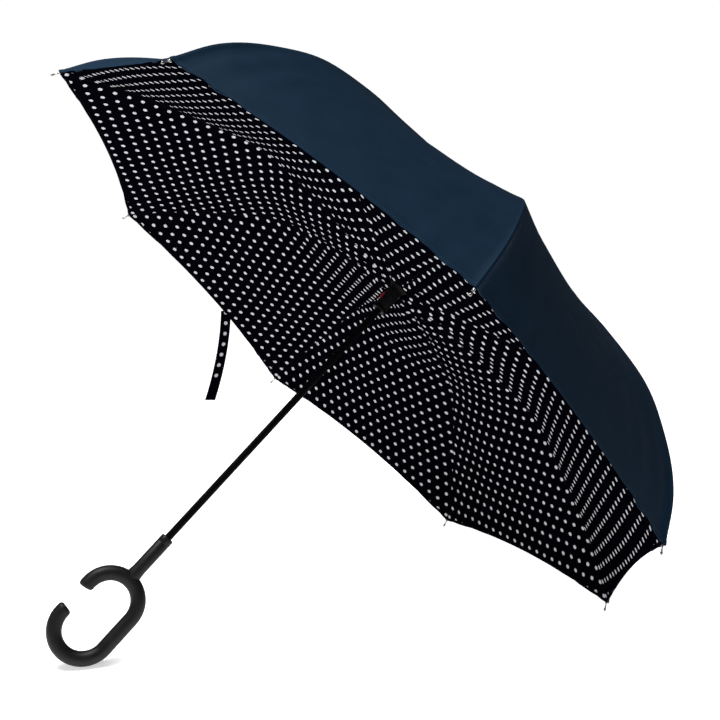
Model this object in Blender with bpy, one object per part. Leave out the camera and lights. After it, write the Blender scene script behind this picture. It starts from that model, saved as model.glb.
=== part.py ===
"""Reverse-folding stick umbrella: eight gores, two fabric layers, C-shaped grip.

Frame: metres, +Z up along the shaft towards the crown. The origin is on the
shaft's axis, level with the lowest point of the grip. The grip's C lies in the
XZ plane with its mouth towards -X. The ribs stand at multiples of 45 degrees.
The umbrella is modelled open.
"""

import math

import bmesh
import bpy
from mathutils import Matrix, Vector

# ---------------------------------------------------------------- dimensions
RIBS = 8
STEP = 2 * math.pi / RIBS

RIM_R, RIM_Z = 0.530, 0.550        # fabric corner at a rib
CROWN_HOLE_R = 0.0075              # the outer canopy's centre opening
CROWN_R, CROWN_Z = 0.012, 0.8480   # outer canopy beside the top cap
FABRIC = 0.0008
SCALLOP = 0.018                    # how far the rim draws in between two tips
INNER_RIM_R = 0.5205
INNER_HUB_R, INNER_HUB_Z = 0.0245, 0.6640

SHAFT_R, SHAFT_WALL = 0.0050, 0.0010
SHAFT_BOTTOM, SHAFT_TOP = 0.1520, 0.8440

RUNNER_PIVOT = (0.0150, 0.6750)    # (radius, height) of a main rib's eye
CROWN_PIVOT = (0.0120, 0.8350)     # of a stretcher's eye
KNEE = (0.2800, 0.7545)            # of the pin between main rib and outer rib
STRETCHER_OFFSET = 0.0046          # a stretcher runs beside its rib

RUNNER_BOTTOM = 0.6230
SLEEVE_R = 0.0100
SLEEVE_BORE = 0.0054
FLANGE_R = 0.0190
WIRE_R = 0.0007

RIB_WIDTH, RIB_HEIGHT = 0.0028, 0.0040
OUTER_ROD_R = 0.0017
STRETCHER_WIDTH, STRETCHER_HEIGHT = 0.0020, 0.0034
ROD_BELOW_CLOTH = 0.0040

TUBE_R = 0.0100                    # grip tube
GRIP_R = 0.0360                    # centreline radius of the two arcs
GRIP_LOW, GRIP_HIGH = 0.0460, 0.0940
GRIP_PAST = math.radians(12.5)     # how far each arc runs past a half turn
STEM_R, STEM_TOP = 0.0090, 0.2020
PIN_Z, PIN_R = 0.1780, 0.0013

BUTTON_Z, BUTTON_H, BUTTON_W = 0.6420, 0.0110, 0.0052
STRAP_LEN, STRAP_W, STRAP_T = 0.168, 0.0150, 0.0016


# ------------------------------------------------------------------- helpers
for old in list(bpy.data.objects):
    bpy.data.objects.remove(old, do_unlink=True)
for block in (bpy.data.meshes, bpy.data.curves, bpy.data.materials):
    for item in list(block):
        block.remove(item)

SCENE = bpy.context.scene.collection


def material(name, colour, roughness, metallic=0.0):
    mat = bpy.data.materials.new(name)
    mat.use_nodes = True
    shader = mat.node_tree.nodes["Principled BSDF"]
    shader.inputs["Base Color"].default_value = (*colour, 1.0)
    shader.inputs["Roughness"].default_value = roughness
    shader.inputs["Metallic"].default_value = metallic
    mat.diffuse_color = (*colour, 1.0)
    return mat


BLACK_PAINT = material("gloss_black_tube", (0.006, 0.006, 0.008), 0.22, 0.2)
RIB_PAINT = material("black_rib_paint", (0.012, 0.012, 0.014), 0.45, 0.5)
STEEL = material("bright_steel", (0.52, 0.52, 0.50), 0.28, 1.0)
BLACK_PLASTIC = material("black_plastic", (0.012, 0.012, 0.013), 0.38)
GRIP_COAT = material("charcoal_soft_coat", (0.018, 0.018, 0.019), 0.62)
RED_PLASTIC = material("red_plastic", (0.22, 0.008, 0.02), 0.32)
OUTER_CLOTH = material("teal_cloth", (0.012, 0.035, 0.062), 0.7)
INNER_CLOTH = material("black_dotted_cloth", (0.006, 0.006, 0.010), 0.75)


def placed(name, mesh, mat, at=(0, 0, 0), turn=0.0):
    obj = bpy.data.objects.new(name, mesh)
    if not mesh.materials:
        mesh.materials.append(mat)
    obj.location = at
    obj.rotation_euler = (0, 0, turn)
    SCENE.objects.link(obj)
    return obj


def mesh_of(bm, name, sharp=35):
    bmesh.ops.recalc_face_normals(bm, faces=bm.faces)
    mesh = bpy.data.meshes.new(name)
    bm.to_mesh(mesh)
    bm.free()
    mesh.shade_smooth()
    mesh.set_sharp_from_angle(angle=math.radians(sharp))
    return mesh


def turned(name, profile, segments=24):
    """Spins an (r, z) outline about Z. A closed outline makes a ring; one whose
    ends lie on the axis makes a solid."""
    bm = bmesh.new()
    ring = [bm.verts.new((r, 0, z)) for r, z in profile]
    closed = profile[0][0] > 0
    edges = [bm.edges.new(pair) for pair in zip(ring, ring[1:])]
    if closed:
        edges.append(bm.edges.new((ring[-1], ring[0])))
    bmesh.ops.spin(bm, geom=ring + edges, cent=(0, 0, 0), axis=(0, 0, 1),
                   angle=2 * math.pi, steps=segments, use_merge=True)
    bmesh.ops.remove_doubles(bm, verts=bm.verts, dist=1e-7)
    return mesh_of(bm, name)


def plate(name, outline, holes, width):
    """A flat bar: an (x, z) outline with round holes, width thick along Y."""
    bm = bmesh.new()
    edges = []
    for loop in [outline] + holes:
        points = [bm.verts.new((x, -width / 2, z)) for x, z in loop]
        edges += [bm.edges.new((points[i - 1], points[i])) for i in range(len(points))]
    made = bmesh.ops.triangle_fill(bm, use_beauty=True, edges=edges)
    faces = [g for g in made["geom"] if isinstance(g, bmesh.types.BMFace)]
    up = bmesh.ops.extrude_face_region(bm, geom=faces)
    bmesh.ops.translate(bm, vec=(0, width, 0),
                        verts=[g for g in up["geom"] if isinstance(g, bmesh.types.BMVert)])
    return mesh_of(bm, name)


def circle(cx, cz, radius, count, start=0.0):
    return [(cx + radius * math.cos(start + 2 * math.pi * k / count),
             cz + radius * math.sin(start + 2 * math.pi * k / count)) for k in range(count)]


def bar_outline(length, angle, height, eye_a, eye_b, count=5):
    """The outline of a straight bar with a round eye at each end, running from
    the origin at an elevation."""
    def arc(cx, radius, middle):
        half = math.asin(min(1.0, height / 2 / radius))
        spread = math.pi - half
        return [(cx + radius * math.cos(middle - spread + 2 * spread * k / (2 * count)),
                 radius * math.sin(middle - spread + 2 * spread * k / (2 * count)))
                for k in range(2 * count + 1)]
    flat = arc(0.0, eye_a, math.pi) + arc(length, eye_b, 0.0)
    c, s = math.cos(angle), math.sin(angle)
    return [(x * c - z * s, x * s + z * c) for x, z in flat]


def tube(name, points, radius, sides=2, cyclic=False):
    """A round bar along a path, as a bevelled curve turned into a mesh."""
    curve = bpy.data.curves.new(name, "CURVE")
    curve.dimensions = "3D"
    curve.bevel_depth = radius
    curve.bevel_resolution = sides
    curve.use_fill_caps = True
    line = curve.splines.new("POLY")
    line.points.add(len(points) - 1)
    for point, place in zip(line.points, points):
        point.co = (*place, 1.0)
    line.use_cyclic_u = cyclic
    holder = bpy.data.objects.new(name, curve)
    SCENE.objects.link(holder)
    mesh = baked(holder, name)
    bm = bmesh.new()
    bm.from_mesh(mesh)
    bmesh.ops.remove_doubles(bm, verts=bm.verts, dist=1e-6)
    return mesh_of(bm, name)


def baked(obj, name, cutters=()):
    bpy.context.view_layer.update()
    graph = bpy.context.evaluated_depsgraph_get()
    mesh = bpy.data.meshes.new_from_object(obj.evaluated_get(graph))
    mesh.name = name
    for item in (obj, *cutters):
        bpy.data.objects.remove(item, do_unlink=True)
    return mesh


def combined(name, base, unions=(), cuts=(), sharp=35):
    """Joins meshes to a base mesh and cuts others away, each a Boolean."""
    body = placed(name + "_work", base, BLACK_PLASTIC)
    helpers = []
    for kind, meshes in (("UNION", unions), ("DIFFERENCE", cuts)):
        for mesh in meshes:
            helper = placed(name + "_tool", mesh, BLACK_PLASTIC)
            helper.hide_render = True
            helper.display_type = "WIRE"
            step = body.modifiers.new(kind, "BOOLEAN")
            step.operation = kind
            step.solver = "EXACT"
            step.object = helper
            helpers.append(helper)
    mesh = baked(body, name, helpers)
    mesh.materials.clear()
    mesh.shade_smooth()
    mesh.set_sharp_from_angle(angle=math.radians(sharp))
    return mesh


def block(name, low, high, turn=0.0):
    bm = bmesh.new()
    bmesh.ops.create_cube(bm, size=1.0)
    size = [h - l for l, h in zip(low, high)]
    middle = [(h + l) / 2 for l, h in zip(low, high)]
    bmesh.ops.scale(bm, vec=size, verts=bm.verts)
    bmesh.ops.translate(bm, vec=middle, verts=bm.verts)
    bmesh.ops.rotate(bm, cent=(0, 0, 0), matrix=Matrix.Rotation(turn, 3, "Z"), verts=bm.verts)
    return mesh_of(bm, name)


def rod_y(name, x, z, radius, length, sides=10, y=0.0):
    bm = bmesh.new()
    bmesh.ops.create_cone(bm, cap_ends=True, segments=sides, radius1=radius,
                          radius2=radius, depth=length)
    bmesh.ops.rotate(bm, cent=(0, 0, 0), matrix=Matrix.Rotation(math.pi / 2, 3, "X"), verts=bm.verts)
    bmesh.ops.translate(bm, vec=(x, y, z), verts=bm.verts)
    return mesh_of(bm, name)


def smooth_line(stations, count):
    """Points evenly spread along a smooth curve through (r, z) stations."""
    fine = []
    pts = [Vector(p) for p in stations]
    for k in range(len(pts) - 1):
        a = pts[k - 1] if k else pts[0] * 2 - pts[1]
        b, c = pts[k], pts[k + 1]
        d = pts[k + 2] if k + 2 < len(pts) else pts[-1] * 2 - pts[-2]
        for j in range(16):
            t = j / 16
            fine.append(0.5 * (2 * b + (c - a) * t + (2 * a - 5 * b + 4 * c - d) * t * t
                               + (3 * b - a - 3 * c + d) * t ** 3))
    fine.append(pts[-1])
    reach = [0.0]
    for p, q in zip(fine, fine[1:]):
        reach.append(reach[-1] + (q - p).length)
    out, k = [], 0
    for j in range(count + 1):
        want = reach[-1] * j / count
        while k < len(reach) - 2 and reach[k + 1] < want:
            k += 1
        share = (want - reach[k]) / (reach[k + 1] - reach[k])
        out.append(fine[k].lerp(fine[k + 1], share))
    return out, reach[-1]


def line_at(points, share):
    at = max(0.0, min(1.0, share)) * (len(points) - 1)
    k = min(int(at), len(points) - 2)
    return points[k].lerp(points[k + 1], at - k)


# Crown to rim, along a rib: a shallow cone, a shoulder at the knee, a deep skirt.
OUTER_STATIONS = [(CROWN_R, CROWN_Z), (0.120, 0.8160), (0.225, 0.7790), (0.300, 0.7530),
                  (0.386, 0.7130), (0.448, 0.6630), (0.499, 0.6050), (RIM_R, RIM_Z)]
# Hub to rim, along a rib: nearly level, then falling to the tip.
INNER_STATIONS = [(INNER_HUB_R, INNER_HUB_Z), (0.150, 0.6740), (0.270, 0.6720),
                  (0.360, 0.6370), (0.450, 0.5970), (INNER_RIM_R, RIM_Z)]
OUTER_LINE, OUTER_LENGTH = smooth_line(OUTER_STATIONS, 64)
INNER_LINE, INNER_LENGTH = smooth_line(INNER_STATIONS, 64)


def cloth_point(line, length, share, across, azimuth, sag):
    """A point of a gore: share runs from the centre to the rim, across from -1
    to 1 about the rib at an azimuth, where 1 and -1 are the middles of the
    gores beside it."""
    u = abs(across)
    mid = u * (2 - u)          # 0 at the rib, 1 in the middle of the gore
    drawn = share * (1 - SCALLOP / length * mid * share ** 3)
    p = line_at(line, drawn)
    half = p.x * math.sin(STEP / 2) * across
    reach = p.x * (1 - (1 - math.cos(STEP / 2)) * u)
    # The straight line between two neighbouring ribs, seen from this one.
    side = 1 if across >= 0 else -1
    here = Vector((p.x, 0, p.y))
    there = Vector((p.x * math.cos(STEP), p.x * math.sin(STEP) * side, p.y))
    spot = here.lerp(there, u / 2)
    drop = sag * mid * math.sin(math.pi * min(1.0, drawn)) ** 0.8
    spot.z -= drop
    spot.rotate(Matrix.Rotation(azimuth, 3, "Z"))
    return spot


# ---------------------------------------------------------------- the pieces
def canopy(name):
    """The outer canopy: eight sewn gores, one sheet with a hole at the crown."""
    rows, per = 10, 4
    bm = bmesh.new()
    grid = []
    for j in range(rows + 1):
        share = j / rows
        ring = []
        for i in range(RIBS):
            for k in range(per):
                across = 2 * k / per
                azimuth = i * STEP
                if across > 1:
                    across -= 2
                    azimuth += STEP
                ring.append(bm.verts.new(
                    cloth_point(OUTER_LINE, OUTER_LENGTH, share, across, azimuth, 0.004)))
        grid.append(ring)
    for inner, outer in zip(grid, grid[1:]):
        for k in range(len(inner)):
            bm.faces.new((inner[k - 1], outer[k - 1], outer[k], inner[k]))
    return mesh_of(bm, name, 60)


def petal(name):
    """One rib's share of the inner canopy, from mid-gore to mid-gore, measured
    from its hinge at the rib tip."""
    rows, per = 6, 4
    bm = bmesh.new()
    grid = []
    for j in range(rows + 1):
        line = []
        for k in range(per + 1):
            across = (2 * k / per - 1)
            p = cloth_point(INNER_LINE, INNER_LENGTH, j / rows, across, 0.0, 0.003)
            edge = Vector((math.cos(STEP / 2), math.sin(STEP / 2) * across, 0))
            if abs(across) == 1:
                p.y -= 0.0004 * across    # a hair short of its neighbour
            line.append(bm.verts.new((p.x - TIP_HINGE[0], p.y, p.z - TIP_HINGE[1])))
        grid.append(line)
    for inner, outer in zip(grid, grid[1:]):
        for k in range(per):
            bm.faces.new((inner[k], outer[k], outer[k + 1], inner[k + 1]))
    return mesh_of(bm, name, 60)


def thicken(obj, amount, offset):
    solid = obj.modifiers.new("cloth", "SOLIDIFY")
    solid.thickness = amount
    solid.offset = offset
    solid.use_even_offset = True
    return obj


def around(index, radius, height, offset=0.0):
    a = index * STEP
    return (radius * math.cos(a) - offset * math.sin(a),
            radius * math.sin(a) + offset * math.cos(a), height)


TIP_HINGE = (0.5215, 0.5485)

# Shaft and what is fixed to it
shaft_mesh = combined(
    "shaft",
    turned("shaft_tube", [(SHAFT_R - SHAFT_WALL, SHAFT_BOTTOM), (SHAFT_R, SHAFT_BOTTOM),
                          (SHAFT_R, SHAFT_TOP), (SHAFT_R - SHAFT_WALL, SHAFT_TOP)], 20),
    cuts=[rod_y("pin_way", 0, PIN_Z, PIN_R + 0.0003, 0.03)])
placed("shaft", shaft_mesh, BLACK_PAINT)

path = []
for k in range(11):     # upper arc, from the mouth over the top
    a = math.pi + GRIP_PAST - (math.pi + GRIP_PAST) * k / 10
    path.append((GRIP_R * math.cos(a), 0, GRIP_HIGH + GRIP_R * math.sin(a)))
for k in range(11):     # lower arc, back to the mouth
    a = -(math.pi + GRIP_PAST) * k / 10
    path.append((GRIP_R * math.cos(a), 0, GRIP_LOW + GRIP_R * math.sin(a)))
grip_mesh = combined(
    "c_handle",
    tube("grip_loop", path, TUBE_R, 4),
    unions=[turned("stem", [(0, 0.1270), (STEM_R, 0.1270), (STEM_R, STEM_TOP - 0.0012),
                            (STEM_R - 0.0012, STEM_TOP), (0, STEM_TOP)], 20)],
    cuts=[turned("stem_bore", [(0, SHAFT_BOTTOM - 0.0004), (SHAFT_R + 0.0003, SHAFT_BOTTOM - 0.0004),
                               (SHAFT_R + 0.0003, STEM_TOP + 0.01), (0, STEM_TOP + 0.01)], 20),
          rod_y("pin_way_b", 0, PIN_Z, PIN_R + 0.0003, 0.03)], sharp=50)
placed("c_handle", grip_mesh, GRIP_COAT)
placed("handle_pin", rod_y("handle_pin", 0, 0, PIN_R, 2 * STEM_R - 0.001, 12), STEEL, (0, 0, PIN_Z))


def notched(name, profile, pivot_r, core_r, slot, offset):
    """A turned hub with a slot for each rib's eye."""
    cuts = []
    for i in range(RIBS):
        cuts.append(block(f"{name}_slot", (core_r - 0.0003, offset - slot / 2, pivot_r[1] - 0.010),
                          (0.03, offset + slot / 2, pivot_r[1] + 0.010), i * STEP))
    return combined(name, turned(name + "_blank", profile, 24), cuts=cuts)


z = CROWN_PIVOT[1]
crown_core, crown_edge = 0.0091, 0.0158
placed("crown", notched("crown", [
    (SHAFT_R + 0.0003, z - 0.0075), (crown_core, z - 0.0075), (crown_core, z - 0.0045),
    (crown_edge, z - 0.0045), (crown_edge, z - 0.0012), (crown_core, z - 0.0012),
    (crown_core, z + 0.0012), (crown_edge, z + 0.0012), (crown_edge, z + 0.0045),
    (crown_core, z + 0.0045), (crown_core, z + 0.0085), (SHAFT_R + 0.0003, z + 0.0085)],
    CROWN_PIVOT, crown_core, STRETCHER_WIDTH + 0.0009, STRETCHER_OFFSET), BLACK_PLASTIC)


def wire_ring(name, reach, height, offset, half):
    """A wire loop that passes straight through each rib's eye."""
    ring = []
    for i in range(RIBS):
        for side in (offset - half, offset + half):
            a = i * STEP
            ring.append((reach * math.cos(a) - side * math.sin(a),
                         reach * math.sin(a) + side * math.cos(a), 0))
    return placed(name, tube(name, ring, WIRE_R, 1, True), STEEL, (0, 0, height))


wire_ring("crown_wire", CROWN_PIVOT[0], CROWN_PIVOT[1], STRETCHER_OFFSET, 0.0017)
cap_z = CROWN_PIVOT[1] + 0.0088
placed("canopy_washer", turned("canopy_washer", [
    (SHAFT_R + 0.0004, cap_z + 0.0061), (SHAFT_R + 0.0004, cap_z + 0.0051),
    (0.0125, cap_z + 0.0051), (0.0125, cap_z + 0.0061)], 20), STEEL)
placed("top_cap", turned("top_cap", [
    (0, cap_z + 0.0004), (0.0046, cap_z + 0.0004), (0.0046, cap_z + 0.0066), (0.0142, cap_z + 0.0066),
    (0.0142, cap_z + 0.0086), (0.0118, cap_z + 0.0120), (0.0080, cap_z + 0.0138), (0, cap_z + 0.0138)], 24),
    BLACK_PLASTIC)

# Runner and its button
z = RUNNER_PIVOT[1]
core = 0.0116
runner_mesh = notched("runner", [
    (SLEEVE_BORE, RUNNER_BOTTOM), (SLEEVE_R - 0.0012, RUNNER_BOTTOM), (SLEEVE_R, RUNNER_BOTTOM + 0.0012),
    (SLEEVE_R, z - 0.0125), (core, z - 0.0105), (core, z - 0.0065), (FLANGE_R, z - 0.0055),
    (FLANGE_R, z - 0.0013), (core, z - 0.0013), (core, z + 0.0013), (FLANGE_R - 0.001, z + 0.0013),
    (FLANGE_R - 0.001, z + 0.0045), (core, z + 0.0055), (core, z + 0.0080), (SLEEVE_BORE, z + 0.0080)],
    RUNNER_PIVOT, core, RIB_WIDTH + 0.0009, 0.0)
runner_mesh = combined("runner", runner_mesh, cuts=[
    block("button_window", (-0.03, -BUTTON_W / 2 - 0.0004, BUTTON_Z - BUTTON_H / 2 - 0.0004),
          (-0.0030, BUTTON_W / 2 + 0.0004, BUTTON_Z + BUTTON_H / 2 + 0.0004))])
placed("runner", runner_mesh, BLACK_PLASTIC)
wire_ring("runner_wire", RUNNER_PIVOT[0], RUNNER_PIVOT[1], 0.0, 0.0018)

button = bmesh.new()
bmesh.ops.create_cube(button, size=1.0)
bmesh.ops.scale(button, vec=(0.0038, BUTTON_W, BUTTON_H), verts=button.verts)
bmesh.ops.bevel(button, geom=[e for e in button.edges if all(v.co.x < 0 for v in e.verts)],
                offset=0.0009, segments=2, profile=0.5, affect="EDGES")
placed("release_button", mesh_of(button, "release_button"), RED_PLASTIC, (-0.0098, 0, BUTTON_Z))

leaf = bmesh.new()
steps = 6
front = [leaf.verts.new((0, -0.0016, 0.0048 * (2 * k / steps - 1))) for k in range(steps + 1)]
for k, v in enumerate(front):
    v.co.x = -0.0006 * math.sin(math.pi * k / steps)
made = bmesh.ops.extrude_edge_only(leaf, edges=[leaf.edges.new(p) for p in zip(front, front[1:])])
bmesh.ops.translate(leaf, vec=(0, 0.0032, 0), verts=[g for g in made["geom"] if isinstance(g, bmesh.types.BMVert)])
spring = placed("button_spring", mesh_of(leaf, "button_spring"), STEEL, (-0.00565, 0, BUTTON_Z))
thicken(spring, 0.0003, 0)

# Rib gear
main_span = math.dist(RUNNER_PIVOT, KNEE)
main_angle = math.atan2(KNEE[1] - RUNNER_PIVOT[1], KNEE[0] - RUNNER_PIVOT[0])
knee_at = (main_span * math.cos(main_angle), main_span * math.sin(main_angle))
FORK_W, TANG_W = 0.0052, 0.0022
main_bar = plate("main_bar", bar_outline(main_span, main_angle, RIB_HEIGHT, 0.0024, 0.0032, 3),
                 [circle(0, 0, WIRE_R + 0.0005, 8)], RIB_WIDTH)
slot_dir = main_angle
fork_slot = block("fork_slot", (-0.0048, -TANG_W / 2 - 0.0004, -0.0080), (0.0080, TANG_W / 2 + 0.0004, 0.0080))
tilt = Matrix.Translation((knee_at[0], 0, knee_at[1])) @ Matrix.Rotation(-main_angle, 4, "Y")
fork_slot.transform(tilt)
fork_root = block("fork_root", (-0.0095, -FORK_W / 2, -0.0027), (0.0, FORK_W / 2, 0.0027))
fork_root.transform(tilt)
main_mesh = combined("main_rib", main_bar,
                     unions=[fork_root, rod_y("fork", knee_at[0], knee_at[1], 0.0032, FORK_W, 10)],
                     cuts=[fork_slot, rod_y("fork_hole", knee_at[0], knee_at[1], 0.0012, 0.02, 8)])

stretch_span = math.dist(CROWN_PIVOT, KNEE)
stretch_angle = math.atan2(KNEE[1] - CROWN_PIVOT[1], KNEE[0] - CROWN_PIVOT[0])
stretch_mesh = plate("stretcher", bar_outline(stretch_span, stretch_angle, STRETCHER_HEIGHT, 0.0021, 0.0026, 3),
                     [circle(0, 0, WIRE_R + 0.0005, 8),
                      circle(stretch_span * math.cos(stretch_angle), stretch_span * math.sin(stretch_angle), 0.0012, 8)],
                     STRETCHER_WIDTH)

# The outer rib leaves the knee pin and then follows the cloth down to the rim.
rod = [Vector((0.0, 0.0))]
for j in range(9):
    share = 0.49 + (0.994 - 0.49) * j / 8
    p, q = line_at(OUTER_LINE, share), line_at(OUTER_LINE, share + 0.004)
    ahead = (q - p).normalized()
    rod.append(p + Vector((ahead.y, -ahead.x)) * ROD_BELOW_CLOTH - Vector(KNEE))
lead = rod[1].normalized()
rod[0] = lead * 0.0046
tang_bar = block("tang_bar", (0.0, -TANG_W / 2, -0.0016), (0.0062, TANG_W / 2, 0.0016))
tang_bar.transform(Matrix.Rotation(-math.atan2(lead.y, lead.x), 4, "Y"))
outer_mesh = combined("outer_rib", tube("outer_rod", [(p.x, 0, p.y) for p in rod], OUTER_ROD_R, 1),
                      unions=[tang_bar, rod_y("tang", 0, 0, 0.0027, TANG_W, 10), rod_y("knee_pin", 0, 0, 0.0009, FORK_W, 8)])

end = rod[-1] + Vector(KNEE)
ahead = (rod[-1] - rod[-2]).normalized()
tip_lean = math.atan2(ahead.x, ahead.y)
tip_mesh = turned("rib_tip", [(0, 0.0003), (0.0019, 0.0003), (0.0019, 0.0040), (0.0011, 0.0048),
                              (0.0011, 0.0095), (0.0021, 0.0110), (0.0021, 0.0128), (0.0011, 0.0143), (0, 0.0146)], 8)
tip_mesh.transform(Matrix.Rotation(tip_lean, 4, "Y"))
inner_mesh = petal("inner_canopy")

for i in range(RIBS):
    turn = i * STEP
    placed(f"main_rib_{i + 1}", main_mesh, RIB_PAINT, around(i, *RUNNER_PIVOT), turn)
    placed(f"outer_rib_{i + 1}", outer_mesh, RIB_PAINT, around(i, *KNEE), turn)
    placed(f"stretcher_{i + 1}", stretch_mesh, RIB_PAINT, around(i, *CROWN_PIVOT, STRETCHER_OFFSET), turn)
    placed(f"rib_tip_{i + 1}", tip_mesh, STEEL, around(i, end.x, end.y), turn)
    thicken(placed(f"inner_canopy_{i + 1}", inner_mesh, INNER_CLOTH, around(i, *TIP_HINGE), turn), FABRIC, 0)

thicken(placed("outer_canopy", canopy("outer_canopy"), OUTER_CLOTH), FABRIC, -1)

# Closing strap: sewn to the inner rim a little off the middle of a gore, hanging free.
hang = Vector((0.686, 0.097, -0.721)).normalized()
sewn = cloth_point(INNER_LINE, INNER_LENGTH, 1.0, 0.80, math.radians(90), 0.0)
sewn = sewn + hang * 0.0100
wide = hang.cross(Vector((0.118, 0.963, 0.242))).normalized()
thick = hang.cross(wide).normalized()
strap = bmesh.new()
rows = []
for j in range(9):
    s = j / 8
    curl = thick * (0.010 * math.sin(math.pi * 0.9 * s) * s)
    middle = hang * (STRAP_LEN * s) + curl
    rows.append([strap.verts.new(middle + wide * (STRAP_W / 2 * side)) for side in (-1, 1)])
for a, b in zip(rows, rows[1:]):
    strap.faces.new((a[0], a[1], b[1], b[0]))
thicken(placed("closing_strap", mesh_of(strap, "closing_strap"), INNER_CLOTH, sewn), STRAP_T, 0)
print("rod lead", tuple(rod[1]), "end of rod", tuple(end), "tip lean", math.degrees(tip_lean), "sewn", tuple(sewn))
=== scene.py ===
import math

import bmesh
import bpy
import numpy as np
from mathutils import Matrix, Vector


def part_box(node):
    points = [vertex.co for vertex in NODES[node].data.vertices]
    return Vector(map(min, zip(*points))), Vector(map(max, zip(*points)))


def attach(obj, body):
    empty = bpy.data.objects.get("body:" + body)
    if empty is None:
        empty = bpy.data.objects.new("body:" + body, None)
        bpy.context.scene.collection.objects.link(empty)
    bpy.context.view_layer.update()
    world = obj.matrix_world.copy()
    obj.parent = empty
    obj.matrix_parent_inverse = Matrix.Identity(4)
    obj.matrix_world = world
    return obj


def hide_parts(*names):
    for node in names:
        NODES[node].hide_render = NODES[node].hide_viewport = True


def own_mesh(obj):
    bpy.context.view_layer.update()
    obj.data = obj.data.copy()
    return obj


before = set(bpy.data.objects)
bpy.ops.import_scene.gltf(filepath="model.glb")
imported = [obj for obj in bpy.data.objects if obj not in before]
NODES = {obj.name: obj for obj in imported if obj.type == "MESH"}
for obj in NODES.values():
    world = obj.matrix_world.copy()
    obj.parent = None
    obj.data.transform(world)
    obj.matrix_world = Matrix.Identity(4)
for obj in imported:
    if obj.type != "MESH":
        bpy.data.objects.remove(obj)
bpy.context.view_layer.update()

RIBS = 8
STEP = 2 * math.pi / RIBS

# ------------------------------------------------------------------ materials


class Tree:
    """Short names for building a node material."""

    def __init__(self, name):
        self.mat = bpy.data.materials.new(name)
        self.mat.use_nodes = True
        self.nt = self.mat.node_tree
        self.bsdf = self.nt.nodes["Principled BSDF"]

    def node(self, kind, **values):
        n = self.nt.nodes.new(kind)
        for key, value in values.items():
            if hasattr(n, key) and key not in n.inputs:
                setattr(n, key, value)
            else:
                self.put(n.inputs[key], value)
        return n

    def put(self, socket, value):
        if isinstance(value, bpy.types.NodeSocket):
            self.nt.links.new(value, socket)
        else:
            socket.default_value = value

    def math(self, op, a, b=0.0, c=0.0, clamp=False):
        n = self.nt.nodes.new("ShaderNodeMath")
        n.operation = op
        n.use_clamp = clamp
        for k, value in enumerate((a, b, c)):
            self.put(n.inputs[k], value)
        return n.outputs[0]

    def step(self, value, low, high, out_low=0.0, out_high=1.0):
        n = self.nt.nodes.new("ShaderNodeMapRange")
        n.interpolation_type = "SMOOTHSTEP"
        for k, v in zip(range(5), (value, low, high, out_low, out_high)):
            self.put(n.inputs[k], v)
        return n.outputs[0]

    def mix(self, share, a, b):
        n = self.nt.nodes.new("ShaderNodeMix")
        n.data_type = "RGBA"
        self.put(n.inputs[0], share)
        self.put(n.inputs[6], (*a, 1.0) if isinstance(a, tuple) else a)
        self.put(n.inputs[7], (*b, 1.0) if isinstance(b, tuple) else b)
        return n.outputs[2]

    def noise(self, vector, scale, detail=3.0, rough=0.5):
        n = self.node("ShaderNodeTexNoise", Scale=scale, Detail=detail, Roughness=rough)
        if vector is not None:
            self.put(n.inputs["Vector"], vector)
        return n.outputs["Fac"]

    def bump(self, height, strength, distance, under=None):
        n = self.node("ShaderNodeBump", Height=height, Strength=strength, Distance=distance)
        if under is not None:
            self.put(n.inputs["Normal"], under)
        return n.outputs["Normal"]

    def finish(self, **values):
        for key, value in values.items():
            key = key.replace("_", " ")
            if isinstance(value, tuple) and len(value) == 3:
                value = (*value, 1.0)
            self.put(self.bsdf.inputs[key], value)
        return self.mat


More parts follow.
